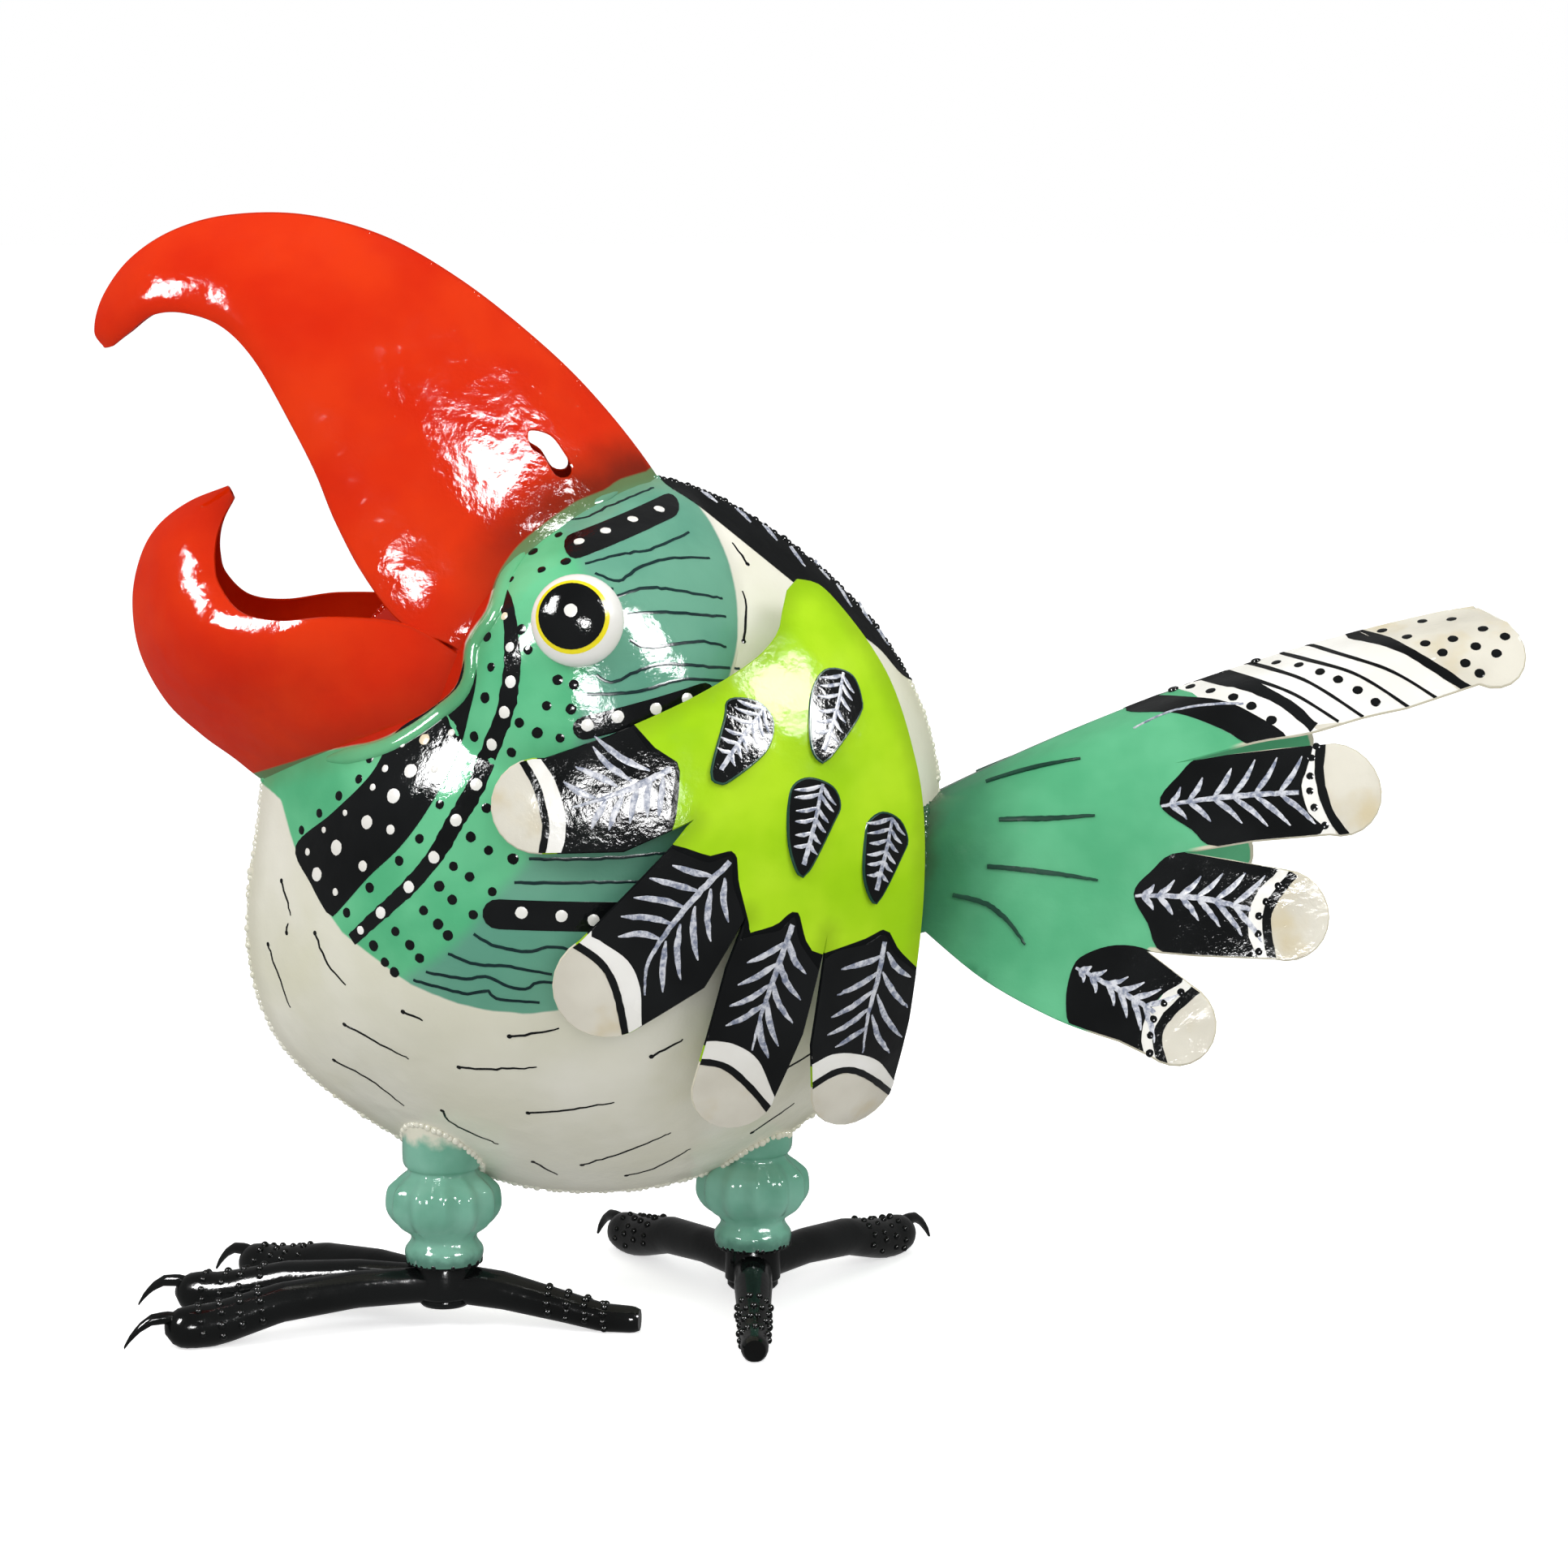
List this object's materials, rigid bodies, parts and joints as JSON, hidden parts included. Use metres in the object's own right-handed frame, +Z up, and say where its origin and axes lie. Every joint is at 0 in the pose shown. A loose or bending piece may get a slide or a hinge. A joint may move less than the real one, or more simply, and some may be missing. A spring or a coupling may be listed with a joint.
{
  "type": "garden bird ornament",
  "caption": "Free-standing painted sheet-metal garden bird with a round body, a large hooked open bill, side wings, a rolled fan tail and two tube-toed feet.",
  "frame": {"origin": "on the floor, under the middle of the object's footprint box", "axes": "+Z up, +X from the bill towards the tail, +Y towards the bird's right side"},
  "size_m": [0.4634, 0.1966, 0.3676],
  "materials": {
    "body_paint": "gloss",
    "bill_paint": "gloss",
    "eye_paint": "gloss",
    "wing_paint": "gloss",
    "tail_paint": "gloss",
    "leg_paint": "gloss",
    "foot_paint": "semi-gloss"
  },
  "bodies": {
    "root": {"body_shell_left": "body_paint", "body_shell_right": "body_paint", "upper_bill_left": "bill_paint", "upper_bill_right": "bill_paint", "lower_bill_left": "bill_paint", "lower_bill_right": "bill_paint", "eye_left": "eye_paint", "eye_right": "eye_paint", "wing_left": "wing_paint", "wing_right": "wing_paint", "wing_post_left": "body_paint", "wing_post_right": "body_paint", "tail_fan": "tail_paint", "leg_collar_left": "leg_paint", "leg_collar_right": "leg_paint", "foot_hub_left": "foot_paint", "foot_hub_right": "foot_paint", "toe_inner_left": "foot_paint", "toe_middle_left": "foot_paint", "toe_outer_left": "foot_paint", "toe_hind_left": "foot_paint", "toe_inner_right": "foot_paint", "toe_middle_right": "foot_paint", "toe_outer_right": "foot_paint", "toe_hind_right": "foot_paint", "claw_inner_left": "foot_paint", "claw_middle_left": "foot_paint", "claw_outer_left": "foot_paint", "claw_inner_right": "foot_paint", "claw_middle_right": "foot_paint", "claw_outer_right": "foot_paint"}
  },
  "joints": []
}
